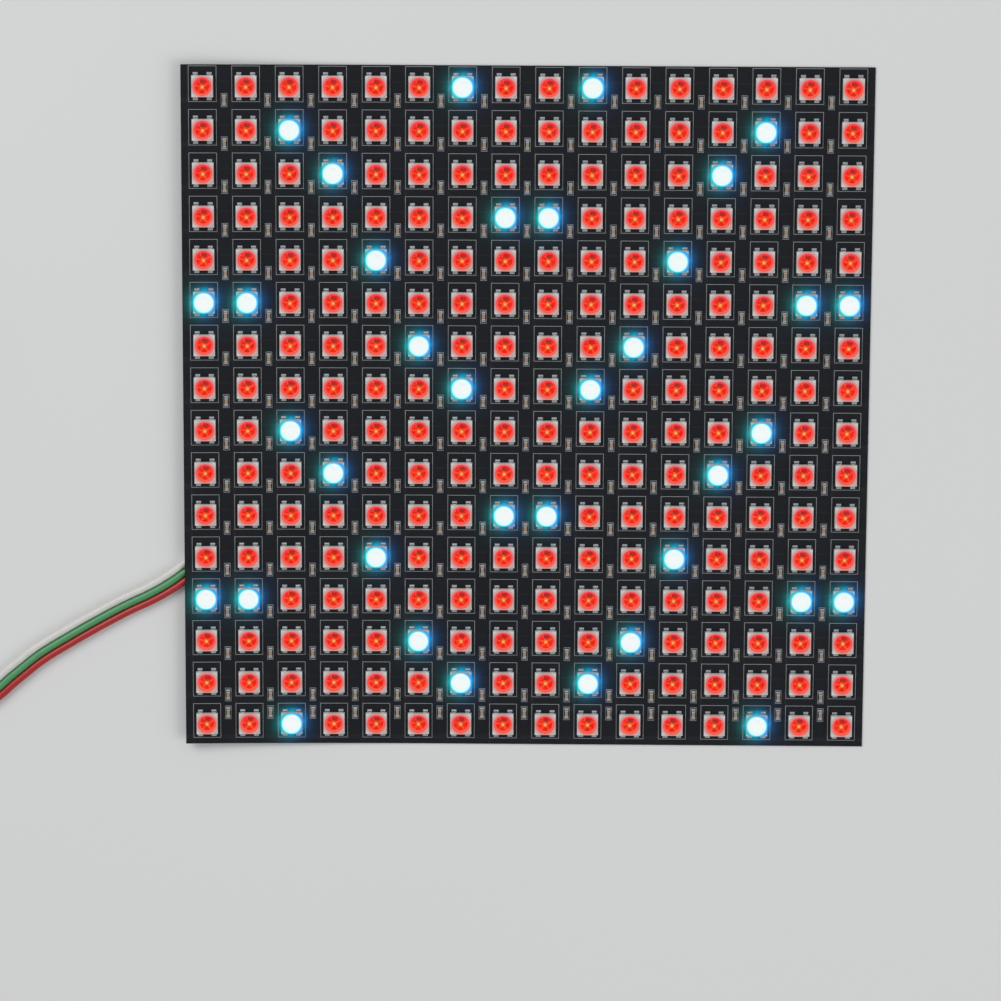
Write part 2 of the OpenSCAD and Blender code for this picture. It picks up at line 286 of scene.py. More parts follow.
WIRES = {
    "wire_white": (1, (0.78, 0.77, 0.72)),
    "wire_green": (0, (0.09, 0.36, 0.14)),
    "wire_red": (-1, (0.47, 0.022, 0.02)),
}
WIRE_FINISH = {name: insulation(name, colour) for name, (_, colour) in WIRES.items()}
print("insulation:", ", ".join(WIRE_FINISH))


# %% Three wires
def make_wire(name, side, material):
    """A round wire along one side of the route, as a Bezier curve."""
    curve = bpy.data.curves.new(name, "CURVE")
    curve.dimensions = "3D"
    curve.bevel_depth = WIRE_D / 2
    curve.bevel_resolution = 5
    curve.resolution_u = 6
    curve.use_fill_caps = True
    points = wire_points(side)
    spline = curve.splines.new("BEZIER")
    spline.bezier_points.add(len(points) - 1)
    for knot, point in zip(spline.bezier_points, points):
        knot.co = point
        knot.handle_left_type = knot.handle_right_type = "AUTO"
    curve.materials.append(material)
    return put_in_scene(name, curve)


for wire_name, (side, _) in WIRES.items():
    wire = make_wire("lead_" + wire_name, side, WIRE_FINISH[wire_name])
    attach(wire, "root")
    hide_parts(wire_name)

# %% [markdown]
# ## Many copies of one small thing: a Geometry Nodes tree
# The panel carries 256 lamps and 240 capacitors, each with its solder and its printed outline.
# A thing that repeats is modelled once, a few dozen faces, and set on every seat by one tree:
# points in, a copy of the small mesh on each, turned with the sheet, then made real and given
# its finish, because instances are lost on export. Copying meshes in Python would do as well,
# but the tree keeps its sizes as named inputs, and can be opened and changed by hand.
# The seats are a mesh of loose points that carries each seat's tilt.

# %% Which lamps are cool
COOL_FIGURE = (5, 5, 1, 2, 4, 6, 0, 3)    # row in seven that shines cool, from each side inwards
FIGURE_ROWS = 7


def is_cool(column, row):
    return row % FIGURE_ROWS == COOL_FIGURE[min(column, LAMPS_A_SIDE - 1 - column)]


everywhere = [(c, r) for r in range(LAMPS_A_SIDE) for c in range(LAMPS_A_SIDE)]
red_places = [lamp_place(c, r) for c, r in everywhere if not is_cool(c, r)]
cool_places = [lamp_place(c, r) for c, r in everywhere if is_cool(c, r)]
lamp_places = red_places + cool_places
print(len(red_places), "red lamps,", len(cool_places), "cool lamps")

# %% The seats
CAP_DROP = 3.2 * MM                 # a capacitor stands this far below its lamps' row,
CAP_LIFT = 2.5 * MM                 # and in the last row this far above it
ON_FACE = SHEET_T + SOLDER_T        # height of the soldered pieces over the sheet's back


def seats(name, places, depth):
    """Loose points on the sheet, each with the tilt that the sheet has there."""
    mesh = bpy.data.meshes.new(name)
    mesh.from_pydata([on_sheet(x, y, depth) for x, y in places], [], [])
    tilt = mesh.attributes.new("tilt", "FLOAT_VECTOR", "POINT")
    for item, (x, _) in zip(tilt.data, places):
        item.vector = (0, bend_angle(x), 0)
    return mesh


capacitor_places = []
for column, row in everywhere:
    x, y = lamp_place(column, row)
    shift = CAP_LIFT if row == LAMPS_A_SIDE - 1 else -CAP_DROP
    if column < LAMPS_A_SIDE - 1:
        capacitor_places.append((x + PITCH / 2, y + shift))
print(len(capacitor_places), "capacitors, all", ON_FACE / MM, "mm above the sheet's back")


# %% The tree that sets a piece on every seat
def group_input(tree, name, kind, default=None):
    socket = tree.interface.new_socket(name, in_out="INPUT", socket_type=kind)
    if default is not None:
        socket.default_value = default
    return socket.identifier


def on_each_seat(tree, inp, geometry, size=None):
    """The last nodes of a tree: a copy on each seat, tilted, made real and given its finish."""
    tilt = add(tree, "GeometryNodeInputNamedAttribute", "tilt", data_type="FLOAT_VECTOR").outputs[0]
    copies = tree.nodes.new("GeometryNodeInstanceOnPoints")
    tree.links.new(inp["Seats"], copies.inputs["Points"])
    tree.links.new(geometry, copies.inputs["Instance"])
    tree.links.new(tilt, copies.inputs["Rotation"])
    if size is not None:
        tree.links.new(size, copies.inputs["Scale"])
    real = add(tree, "GeometryNodeRealizeInstances", copies.outputs[0])
    painted = add(tree, "GeometryNodeSetMaterial", real.outputs[0])
    tree.links.new(inp["Finish"], painted.inputs["Material"])
    tree.links.new(painted.outputs[0], tree.nodes.new("NodeGroupOutput").inputs[0])


def seating_tree():
    """Geometry Nodes: a copy of Piece on each seat, a little uneven in size."""
    tree = bpy.data.node_groups.new("set_on_seats", "GeometryNodeTree")
    tree.interface.new_socket("Seats", in_out="INPUT", socket_type="NodeSocketGeometry")
    ids = {
        "Piece": group_input(tree, "Piece", "NodeSocketObject"),
        "Finish": group_input(tree, "Finish", "NodeSocketMaterial"),
        "Unevenness": group_input(tree, "Unevenness", "NodeSocketFloat", 0.0),
        "Seed": group_input(tree, "Seed", "NodeSocketInt", 7),
    }
    tree.interface.new_socket("Pieces", in_out="OUTPUT", socket_type="NodeSocketGeometry")
    inp = tree.nodes.new("NodeGroupInput").outputs
    piece = add(tree, "GeometryNodeObjectInfo", inp["Piece"])
    size = tree.nodes.new("FunctionNodeRandomValue")
    size.data_type = "FLOAT"
    low = add(tree, "ShaderNodeMath", 1.0, inp["Unevenness"], operation="SUBTRACT").outputs[0]
    high = add(tree, "ShaderNodeMath", 1.0, inp["Unevenness"], operation="ADD").outputs[0]
    tree.links.new(low, size.inputs[2])
    tree.links.new(high, size.inputs[3])
    tree.links.new(inp["Seed"], size.inputs[8])
    on_each_seat(tree, inp, piece.outputs["Geometry"], size.outputs[1])
    return tree, ids


SEATING, SEATING_IDS = seating_tree()
print("seating tree:", len(SEATING.nodes), "nodes, inputs", ", ".join(SEATING_IDS))


# %% From a host to a plain piece
def plain_piece(host, name, replaced=()):
    """The host's evaluated mesh as a plain object on the root body; the host goes."""
    bpy.context.view_layer.update()
    evaluated = host.evaluated_get(bpy.context.evaluated_depsgraph_get())
    mesh = bpy.data.meshes.new_from_object(evaluated)
    mesh.name = name
    piece = put_in_scene(name, mesh)
    bpy.data.objects.remove(host)
    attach(piece, "root")
    if replaced:
        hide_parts(*replaced)
    print(f"{name}: {len(mesh.polygons)} faces")
    return piece


def run_tree(host, tree, ids, values):
    """Put a tree on a host, with a value for each of its named inputs."""
    modifier = host.modifiers.new("nodes", "NODES")
    modifier.node_group = tree
    for key, value in values.items():
        modifier[ids[key]] = value


def set_on_seats(name, piece_mesh, seat_mesh, material, replaced=(), unevenness=0.0, seed=7):
    """Run the tree on a mesh of seats with one small piece, and keep the plain result."""
    piece = put_in_scene(name + "_one", piece_mesh)
    host = put_in_scene(name + "_seats", seat_mesh)
    run_tree(host, SEATING, SEATING_IDS,
             {"Piece": piece, "Finish": material, "Unevenness": unevenness, "Seed": seed})
    result = plain_piece(host, name, replaced)
    bpy.data.objects.remove(piece)
    return result


print("ready to set pieces on seats")

# %% [markdown]
# ## The lamp's white housing
# A lamp is a 5 mm square of moulded white plastic, 1.57 mm tall, with a round cup in its top, a
# cut corner that marks pin one, and walls that lean in a little above the parting line. The CAD
# solid has this shape with knife-sharp edges. A real edge is slightly rounded and catches a thin
# line of light, so the housing is built again here, ring by ring, with that rounding. It also
# needs something the solid can't carry: a flat map of its own plan, so that light can be painted
# round the cup's middle, whichever of the 256 lamps it is.

# %% Sizes of a lamp
LAMP_W = 5.0 * MM
LAMP_H = 1.57 * MM
DRAFT = 0.06 * MM               # the walls lean in this much above the parting line
PARTING_Z = 0.85 * MM
BELLY_Z = 0.05 * MM             # foot of the strip between the terminals
BELLY_W = 3.2 * MM
FOOT_T = 0.2 * MM               # thickness of a folded terminal under the housing
NOTCH_LEG = 1.0 * MM            # the cut corner: its legs, and the height where it starts
NOTCH_Z = LAMP_H - 0.45 * MM
EDGE_R = 0.05 * MM
RIM_R = 2.1 * MM                # the cup: its radius at the rim and at the floor
FLOOR_R = 1.65 * MM
CUP_Z = 0.62 * MM
CUP_SIDES = 24
print(f"lamp {LAMP_W / MM:.2f} mm square and {LAMP_H / MM:.2f} mm tall, cup {2 * RIM_R / MM:.1f} mm wide")

# %% Meshes with a map of their plan
PLAN_W = 10 * MM      # width that the plan map covers


def map_plan(mesh):
    """A UV map that holds each point's own place in plan, with the lamp's middle at 0.5, 0.5."""
    plan = mesh.uv_layers.new(name="plan")
    for loop in mesh.loops:
        co = mesh.vertices[loop.vertex_index].co
        plan.data[loop.index].uv = (0.5 + co.x / PLAN_W, 0.5 + co.y / PLAN_W)


def mesh_from(name, build, smooth=False):
    """A mesh made by a function that fills a bmesh, with its plan map."""
    bm = bmesh.new()
    build(bm)
    bmesh.ops.remove_doubles(bm, verts=bm.verts, dist=1e-7)
    bmesh.ops.recalc_face_normals(bm, faces=bm.faces)
    mesh = bpy.data.meshes.new(name)
    bm.to_mesh(mesh)
    bm.free()
    map_plan(mesh)
    if smooth:
        mesh.shade_smooth()
    return mesh


print("the plan map covers", PLAN_W / MM, "mm")


# %% Rings and skirts
def ring(bm, outline, z):
    return [bm.verts.new((x, y, z)) for x, y in outline]


def circle(radius):
    turns = [math.tau * k / CUP_SIDES for k in range(CUP_SIDES)]
    return [(radius * math.cos(turn), radius * math.sin(turn)) for turn in turns]


def skirt(bm, lower, upper):
    """Quads between two rings of as many points."""
    count = len(lower)
    for k in range(count):
        m = (k + 1) % count
        bm.faces.new((lower[k], lower[m], upper[m], upper[k]))


def square(half, across=None):
    """Four corners in plan; a second half width makes it an oblong."""
    wide = half if across is None else across
    return [(half, -wide), (half, wide), (-half, wide), (-half, -wide)]


def notched(half):
    """The square with its lower right corner cut off."""
    leg = NOTCH_LEG - (LAMP_W / 2 - half)
    return [(half - leg, -half), (half, leg - half), (half, half), (-half, half), (-half, -half)]


print("a cup has", len(circle(RIM_R)), "sides, a cut corner makes", len(notched(LAMP_W / 2)), "of four")


# %% The housing, ring by ring
def build_housing(bm):
    half = LAMP_W / 2
    step_half = half - DRAFT * (NOTCH_Z - PARTING_Z) / (LAMP_H - PARTING_Z)
    rings = [ring(bm, square(half), FOOT_T), ring(bm, square(half), PARTING_Z),
             ring(bm, square(step_half), NOTCH_Z)]
    for lower, upper in zip(rings, rings[1:]):
        skirt(bm, lower, upper)
    bm.faces.new(rings[0])
    corner = rings[-1][0]
    upper = [bm.verts.new((x, y, NOTCH_Z)) for x, y in notched(step_half)[:2]] + rings[-1][1:]
    bm.faces.new((upper[0], corner, upper[1]))
    crest = ring(bm, notched(half - DRAFT), LAMP_H - EDGE_R)
    top = ring(bm, notched(half - DRAFT - EDGE_R), LAMP_H)
    skirt(bm, upper, crest)
    skirt(bm, crest, top)
    rim = ring(bm, circle(RIM_R), LAMP_H)
    floor = ring(bm, circle(FLOOR_R), CUP_Z)
    skirt(bm, rim, floor)
    bm.faces.new(floor)
    edges = [bm.edges.get((a, b)) or bm.edges.new((a, b))
             for loop in (top, rim) for a, b in zip(loop, loop[1:] + loop[:1])]
    bmesh.ops.triangle_fill(bm, use_beauty=True, use_dissolve=False, edges=edges)


def build_belly(bm):
    """The strip of housing between the feet, down to just above the sheet."""
    low = ring(bm, square(LAMP_W / 2, BELLY_W / 2), BELLY_Z)
    high = ring(bm, square(LAMP_W / 2, BELLY_W / 2), FOOT_T)
    skirt(bm, low, high)
    bm.faces.new(low)
    bm.faces.new(high)


def build_package(bm):
    build_housing(bm)
    build_belly(bm)


housing_mesh = mesh_from("housing", build_package)
print("one housing has", len(housing_mesh.polygons), "faces")

# %% [markdown]
# ## Light in the cup
# A lit lamp isn't one flat disc. A small die below the middle is a hot spot, straight streaks
# leave it along the bond wires, the floor between them is deep in colour, and the cup's sloping
# wall shines as a paler ring. The white plastic round the rim lets a little light through, and a
# painted glow on the plastic just outside the rim stands for it. All of that depends only on the
# place in plan, so it is worked out from the plan map, in millimetres, with distances and smooth
# steps rather than drawn. The cool lamps are so bright that the whole cup is nearly white, and a
# painted glow on the plastic round it is green on the side of the green die and blue on the side
# of the blue one. The strength is a plain number on the shader.

# %% Distances in the plan
def plan_place(tree):
    """x and y from the lamp's middle, and the distance, all in millimetres."""
    uv = add(tree, "ShaderNodeUVMap", uv_map="plan").outputs[0]
    parts = add(tree, "ShaderNodeSeparateXYZ", uv)
    x = maths(tree, "MULTIPLY_ADD", parts.outputs[0], PLAN_W / MM, -0.5 * PLAN_W / MM)
    y = maths(tree, "MULTIPLY_ADD", parts.outputs[1], PLAN_W / MM, -0.5 * PLAN_W / MM)
    return x, y, length(tree, x, y)


def length(tree, x, y):
    squares = maths(tree, "ADD", maths(tree, "MULTIPLY", x, x), maths(tree, "MULTIPLY", y, y))
    return maths(tree, "SQRT", squares)


print("the rim lies", RIM_R / MM, "mm from the lamp's middle, the floor's edge", FLOOR_R / MM, "mm")



# %% Streaks from the hot spot
HOT_Y = -0.2                              # the hot spot, below the lamp's middle, in mm
STREAK_ANGLES = (30, 112, 165, 230, 305)  # ways in which the streaks leave it, in degrees
STREAK_W = 0.34


def streaks(tree, x, y):
    """1 along each streak, falling to 0 beside it."""
    up = maths(tree, "SUBTRACT", y, HOT_Y)
    share = 0.0
    for angle in STREAK_ANGLES:
        c, s = math.cos(math.radians(angle)), math.sin(math.radians(angle))
        along = maths(tree, "ADD", maths(tree, "MULTIPLY", x, c), maths(tree, "MULTIPLY", up, s))
        aside = maths(tree, "SUBTRACT", maths(tree, "MULTIPLY", x, s), maths(tree, "MULTIPLY", up, c))
        beside = rise(tree, maths(tree, "ABSOLUTE", aside), STREAK_W, 0.0)
        ahead = rise(tree, along, 0.0, 0.2)
        share = maths(tree, "MAXIMUM", maths(tree, "MULTIPLY", beside, ahead), share)
    return share


print(len(STREAK_ANGLES), "streaks,", STREAK_W, "mm to each side")



# %% Red light and cool light
def red_light(tree, x, y, distance):
    """Light of a red lamp by its place in plan."""
    patches = rise(tree, object_noise(tree, 900, 2), 0.35, 0.65)
    floor = blend(tree, patches, (0.77, 0.003, 0.001), (0.96, 0.010, 0.004))
    streak = maths(tree, "MULTIPLY", streaks(tree, x, y), maths(tree, "MULTIPLY_ADD", patches, 0.4, 0.6))
    floor = blend(tree, streak, floor, (1.0, 0.10, 0.014))
    hot = rise(tree, length(tree, x, maths(tree, "SUBTRACT", y, HOT_Y)), 0.62, 0.1)
    floor = blend(tree, hot, floor, (1.0, 0.44, 0.085))
    wall = blend(tree, rise(tree, y, -1.6, 1.6), (0.96, 0.12, 0.07), (0.96, 0.06, 0.075))
    light = blend(tree, rise(tree, distance, 1.58, 1.74), floor, wall)
    # painted glow: the lamp's light on the plastic just outside the rim
    glow = blend(tree, rise(tree, distance, 2.75, 2.1), BLACK, (0.2, 0.003, 0.005))
    return blend(tree, rise(tree, distance, 2.04, 2.13), light, glow)


def cool_light(tree, x, y, distance):
    """Light of a cool lamp by its place in plan."""
    core = blend(tree, rise(tree, distance, 1.4, 2.1), (0.93, 0.97, 0.97), (0.72, 0.98, 0.99))
    side = rise(tree, maths(tree, "MULTIPLY_ADD", y, 0.35, x), -1.6, 1.6)
    # painted glow on the plastic round the cup, green on the green die's side and blue on the blue die's
    # side
    near = blend(tree, side, (0.14, 0.72, 0.58), (0.14, 0.46, 0.80))
    far = blend(tree, side, (0.0, 0.16, 0.10), (0.0, 0.05, 0.32))
    glow = blend(tree, rise(tree, distance, 2.85, 2.15), far, near)
    return blend(tree, rise(tree, distance, 2.08, 2.3), core, glow)


print("red light for", len(red_places), "cups, cool light for", len(cool_places))



# %% Two finishes for the housing
# painted light: the lamp's colour painted on the plastic round a lit cup comes up over this many mm
PAINTED_TINT_FADE = 1.1      # mm over which the tint round a lit cup comes up


def white_plastic(name, light, painted_lamp_tint, painted_tint_reach):
    """Moulded white plastic with a painted tint of lamp light round its lit cup, whose light is a function
    of the plan.
    """
    material, shader, tree = finish_of(name, Roughness=0.42, Specular_IOR_Level=0.15, Emission_Strength=1.0)
    x, y, distance = plan_place(tree)
    plastic = blend(tree, object_noise(tree, 2200), (0.72, 0.72, 0.69), (0.8, 0.8, 0.77))
    up = facing_up(tree)
    near = rise(tree, distance, painted_tint_reach, painted_tint_reach - PAINTED_TINT_FADE)
    # painted lamp light: near the cup the plastic's colour takes the lamp's colour, more on tops than on
    # walls
    plastic = blend(tree, maths(tree, "MULTIPLY", near, rise(tree, up, -0.3, 0.9)), plastic, painted_lamp_tint)
    open_above = maths(tree, "GREATER_THAN", up, 0.2)
    in_cup = maths(tree, "MULTIPLY", maths(tree, "LESS_THAN", distance, RIM_R / MM + 0.01), open_above)
    colour_by(tree, shader, in_cup, plastic, (0.012, 0.008, 0.008))
    colour_by(tree, shader, open_above, BLACK, light(tree, x, y, distance), "Emission Color")
    roughen(tree, shader, object_noise(tree, 5200, 2), 0.05, 0.0001)
    return material


# the colours here are the lamp's light painted on the plastic round each cup, with its reach in mm
red_housing = white_plastic("housing_round_red_light", red_light, (0.66, 0.30, 0.29), 3.2)
cool_housing = white_plastic("housing_round_cool_light", cool_light, (0.04, 0.30, 0.46), 3.7)

HOUSING_NODES = [f"housings_row_{row:02d}" for row in range(1, LAMPS_A_SIDE + 1)]
set_on_seats("housings_round_red_light", housing_mesh, seats("red", red_places, ON_FACE),
             red_housing, HOUSING_NODES)
set_on_seats("housings_round_cool_light", housing_mesh, seats("cool", cool_places, ON_FACE),
             cool_housing)

# %% [markdown]
# ## Dies, driver chip and bond wires
# Under the clear filling sit three tiny light-giving dies just below the middle, a square driver
# chip above them, and hair-thin bond wires between them. From a step away they are a dark patch,
# a hot spot and a few bright spokes. Boxes and thin three-sided rods are enough at that size.
# One colour attribute on the small mesh says how brightly each piece shines, and the material
# only passes it on. The dies give the light; the glow on the chip and the bond wires is their
# light painted on them.

# %% Boxes and rods
BOND_R = 0.03 * MM
BOND_LIFT = 0.22 * MM          # rise of a bond wire's arch


def box_at(bm, x, y, w, d, h, base):
    """The eight points of a box that stands on a height, with its place and size in mm."""
    made = bmesh.ops.create_cube(bm, size=1)["verts"]
    for v in made:
        v.co = Vector(((x + v.co.x * w) * MM, (y + v.co.y * d) * MM, base + (v.co.z + 0.5) * h * MM))
    return made


def rod(bm, start, end, base):
    """The points of a thin arched rod of three sides between two places in plan."""
    steps = 4
    up = Vector((0, 0, 1))
    a, b = Vector((*start, 0)) * MM, Vector((*end, 0)) * MM
    side = (b - a).normalized().cross(up)
    rings = []
    for k in range(steps + 1):
        middle = a.lerp(b, k / steps) + up * (base + BOND_LIFT * math.sin(math.pi * k / steps))
        rings.append([bm.verts.new(middle + BOND_R * (math.cos(q) * side + math.sin(q) * up))
                      for q in (math.pi / 2, math.pi * 7 / 6, math.pi * 11 / 6)])
    for lower, upper in zip(rings, rings[1:]):
        skirt(bm, lower, upper)
    bm.faces.new(rings[0])
    bm.faces.new(rings[-1])
    return [v for verts in rings for v in verts]


print("a bond wire is", 2 * BOND_R / MM, "mm thick")

# %% Inside one lamp
FLOOR_TOP = CUP_Z + 0.005 * MM
BOND_FOOT = FLOOR_TOP + 0.14 * MM             # the bond wires start at the height of a die's top
CHIP = (0.14, 1.02, 1.3, 0.72, 0.18)          # x, y, width, depth, height in mm
DIES = [(-0.5, -0.18, 0.22, 0.22, 0.12), (0.0, -0.2, 0.3, 0.3, 0.14), (0.5, -0.18, 0.22, 0.22, 0.12)]
BONDS = [((-0.3, 0.72), (-0.5, -0.1)), ((0.05, 0.72), (0.0, -0.1)), ((0.45, 0.72), (0.5, -0.1)),
         ((-0.42, 1.1), (-1.3, 0.75)), ((0.7, 1.1), (1.3, 0.7)), ((-0.5, -0.25), (-1.15, -0.95)),
         ((0.5, -0.25), (1.1, -1.0)), ((0.05, -0.3), (0.75, -1.2))]


def build_inside(bm, chip, die, middle_die, bond):
    """Chip, dies and bond wires, each point with the colour that it shines in."""
    glow = bm.verts.layers.float_color.new("glow")
    parts = [(box_at(bm, *CHIP, FLOOR_TOP), chip)]
    for place, colour in zip(DIES, (die, middle_die, die)):
        parts.append((box_at(bm, *place, FLOOR_TOP), colour))
    for start, end in BONDS:
        parts.append((rod(bm, start, end, BOND_FOOT), bond))
    for verts, colour in parts:
        for v in verts:
            v[glow] = (*colour, 1)


# the chip's and the bond wires' colours are the dies' light painted on them
red_inside = mesh_from("red_inside", lambda bm: build_inside(
    bm, (0.40, 0.0, 0.0), (0.8, 0.02, 0.008), (1.0, 0.6, 0.14), (1.0, 0.14, 0.03)))
cool_inside = mesh_from("cool_inside", lambda bm: build_inside(
    bm, (0.88, 0.96, 0.96), (0.94, 0.98, 0.98), (0.95, 0.98, 0.98), (0.94, 0.98, 0.98)))
print("one lamp holds", len(DIES), "dies, a chip and", len(BONDS), "bond wires:",
      len(red_inside.polygons), "faces")

# %% Their shine
def glowing(name, roughness, base, grain_share):
    """A finish that shines in its mesh's own colours, broken a little by grain."""
    material, shader, tree = finish_of(name, Base_Color=base, Roughness=roughness, Emission_Strength=1.0)
    glow = add(tree, "ShaderNodeVertexColor", layer_name="glow").outputs[0]
    dark = maths(tree, "MULTIPLY", object_noise(tree, 9000, 2), grain_share)
    colour_by(tree, shader, dark, glow, BLACK, "Emission Color")
    return material


set_on_seats("dies_and_chips_red", red_inside, seats("red_in", red_places, ON_FACE),
             glowing("lit_dies_red", 0.5, (0.02, 0.015, 0.015), 0.25))
set_on_seats("dies_and_chips_cool", cool_inside, seats("cool_in", cool_places, ON_FACE),
             glowing("lit_dies_cool", 0.5, (0.02, 0.02, 0.02), 0.06))

# %% [markdown]
# ## The clear filling
# Silicone fills the cup to just below the rim and dips slightly in the middle. It is what gives
# a lamp its wet highlight. Real refraction would need a glass shader and many light bounces for
# something that looks so small, so the filling is a thin see-through surface with a glossy coat.

# %% Fillings
LENS_TOP = LAMP_H - 0.06 * MM
LENS_DIP = 0.05 * MM
LENS_DEPTH = 0.5 * MM
LENS_GAP = 0.05 * MM           # keeps the filling's edge off the cup's wall


def build_filling(bm):
    edge = ring(bm, circle(RIM_R - LENS_GAP), LENS_TOP)
    inner = ring(bm, circle(RIM_R * 0.55), LENS_TOP - LENS_DIP * 0.8)
    foot = ring(bm, circle(FLOOR_R), LENS_TOP - LENS_DEPTH)
    middle = bm.verts.new((0, 0, LENS_TOP - LENS_DIP))
    skirt(bm, edge, inner)
    skirt(bm, foot, edge)
    for a, b in zip(inner, inner[1:] + inner[:1]):
        bm.faces.new((a, b, middle))
    bm.faces.new(foot)


def clear_silicone(name, painted_lamp_tint):
    # painted lamp tint: the lit cup's colour painted on the clear filling
    material, shader, tree = finish_of(name, Base_Color=painted_lamp_tint, Roughness=0.1, Alpha=0.05, Coat_Weight=0.3,
                                       Coat_Roughness=0.05, Specular_IOR_Level=0.3, IOR=1.41)
    roughen(tree, shader, object_noise(tree, 1400, 2), 0.06, 0.0001)
    return material


RED_LENS_NODES = [f"red_lenses_row_{row:02d}" for row in range(1, LAMPS_A_SIDE + 1)]
filling_mesh = mesh_from("filling", build_filling, smooth=True)
set_on_seats("fillings_red", filling_mesh, seats("red_fill", red_places, ON_FACE),
             clear_silicone("clear_silicone_red", (0.5, 0.06, 0.05)), RED_LENS_NODES)
set_on_seats("fillings_cool", filling_mesh, seats("cool_fill", cool_places, ON_FACE),
             clear_silicone("clear_silicone_cool", (0.5, 0.6, 0.62)), ["cool_lenses"])

# %% [markdown]
# ## Solder
# Each terminal stands on a tinned land and a small fillet of solder climbs its outer face. Under
# a lamp these glint at the foot of the housing; beside a capacitor they close off its two ends.
# A fillet is a wedge with a hollow slope: two quads deep is enough for something 0.9 mm wide.
# No two are quite alike, so the tree makes each lamp's a little larger or smaller.

# %% One fillet
SOLDER_FOOT = -0.028      # mm from a seat down to where its solder starts, just clear of the sheet


def wedge(bm, x, y, width, reach, climb, turn):
    """A fillet whose foot points away from a wall at y; turn is 1 for up, -1 for down."""
    profile = [(0, 0), (reach, 0), (reach * 0.35, climb * 0.3), (0, climb)]
    ends = [[bm.verts.new(((x + s * width / 2) * MM, (y + turn * p) * MM, (q + SOLDER_FOOT) * MM))
             for p, q in profile] for s in (-1, 1)]
    skirt(bm, ends[0], ends[1])
    bm.faces.new(ends[0])
    bm.faces.new(ends[1])


print("solder starts", round(SOLDER_T / MM + SOLDER_FOOT, 3), "mm above the sheet")

# %% Solder of a lamp and of a capacitor
PIN_X = 1.6                              # all in mm
TERMINAL_Y = 2.7
FILLET = (0.9, 0.42, 0.4)                # width, reach and climb
LAND = (1.15, 0.62, 0.012)               # width, reach and thickness
LAND_Y = TERMINAL_Y - 0.1 + LAND[1] / 2  # a land starts a little under its terminal
CAP_L, CAP_W = 1.6, 0.8
CAP_FILLET = (CAP_W * 0.9, 0.36, 0.42)
CAP_LAND = (CAP_W + 0.12, 0.62, 0.012)
CAP_LAND_Y = CAP_L / 2 + 0.18


def build_lamp_solder(bm):
    for turn in (-1, 1):
        for x in (-PIN_X, PIN_X):
            wedge(bm, x, turn * TERMINAL_Y, *FILLET, turn)
            box_at(bm, x, turn * LAND_Y, *LAND, SOLDER_FOOT * MM)


def build_cap_solder(bm):
    for turn in (-1, 1):
        wedge(bm, 0, turn * CAP_L / 2, *CAP_FILLET, turn)
        box_at(bm, 0, turn * CAP_LAND_Y, *CAP_LAND, SOLDER_FOOT * MM)


lamp_solder = mesh_from("lamp_solder", build_lamp_solder)
cap_solder = mesh_from("cap_solder", build_cap_solder)
print("faces:", len(lamp_solder.polygons), "round a lamp,", len(cap_solder.polygons), "at a capacitor")


# %% Tin
def tinned(name, colour, roughness):
    """Bright tin with soft patches of different gloss."""
    material, shader, tree = finish_of(name, Base_Color=colour, Metallic=1.0)
    patches = object_noise(tree, 1500)
    rough = maths(tree, "MULTIPLY_ADD", patches, 0.22, roughness - 0.1)
    tree.links.new(rough, shader.inputs["Roughness"])
    colour_by(tree, shader, patches, tuple(c * 0.85 for c in colour), colour)
    roughen(tree, shader, object_noise(tree, 3500, 2), 0.15, 0.0001)
    return material


solder = tinned("bright_solder", (0.72, 0.73, 0.74), 0.28)
set_on_seats("lamp_solder", lamp_solder, seats("solder_at", lamp_places, ON_FACE),
             solder, unevenness=0.015, seed=11)
set_on_seats("capacitor_solder", cap_solder, seats("cap_solder_at", capacitor_places, ON_FACE),
             solder, unevenness=0.03, seed=5)

# %% [markdown]
# ## Capacitors
# Between each two lamps stands a chip capacitor: a brown fired-ceramic block with tinned ends.
# Its CAD solids are plain boxes. Tumbled ceramic has rounded edges, so one capacitor is modelled
# with a bevel and set on every seat; the two materials are two pieces.

# %% Block and ends
CAP_STEP = 0.03       # the ends stand this much proud of the ceramic, in mm
CAP_END = 0.35        # length of a tinned end
CAP_TUCK = 0.02       # the ceramic reaches this far into its two ends together
CERAMIC_R, END_R = 0.03, 0.06


def rounded_box(bm, x, y, w, d, h, base, radius):
    made = box_at(bm, x, y, w, d, h, base * MM)
    edges = list({e for v in made for e in v.link_edges})
    bmesh.ops.bevel(bm, geom=edges, offset=radius * MM, segments=1, affect="EDGES")


def build_ceramic(bm):
    width = CAP_W - 2 * CAP_STEP
    rounded_box(bm, 0, 0, width, CAP_L - 2 * CAP_END + CAP_TUCK, width, CAP_STEP, CERAMIC_R)


def build_ends(bm):
    for turn in (-1, 1):
        rounded_box(bm, 0, turn * (CAP_L - CAP_END) / 2, CAP_W, CAP_END, CAP_W, 0, END_R)


print("a capacitor is", CAP_L, "by", CAP_W, "mm, with ends", CAP_END, "mm long")


# %% Ceramic and tin
def ceramic():
    material, shader, tree = finish_of("capacitor_ceramic", Roughness=0.55)
    grain = object_noise(tree, 6000)
    colour_by(tree, shader, grain, (0.27, 0.17, 0.1), (0.46, 0.33, 0.22))
    roughen(tree, shader, grain, 0.2, 0.0001)
    return material


tin = tinned("tinned_ends", (0.78, 0.78, 0.78), 0.35)
set_on_seats("capacitor_ceramics", mesh_from("cap_ceramic", build_ceramic),
             seats("ceramic_at", capacitor_places, ON_FACE), ceramic(),
             ["capacitor_bodies"])
set_on_seats("capacitor_tinned_ends", mesh_from("cap_ends", build_ends),
             seats("ends_at", capacitor_places, ON_FACE), tin, ["capacitor_ends"])

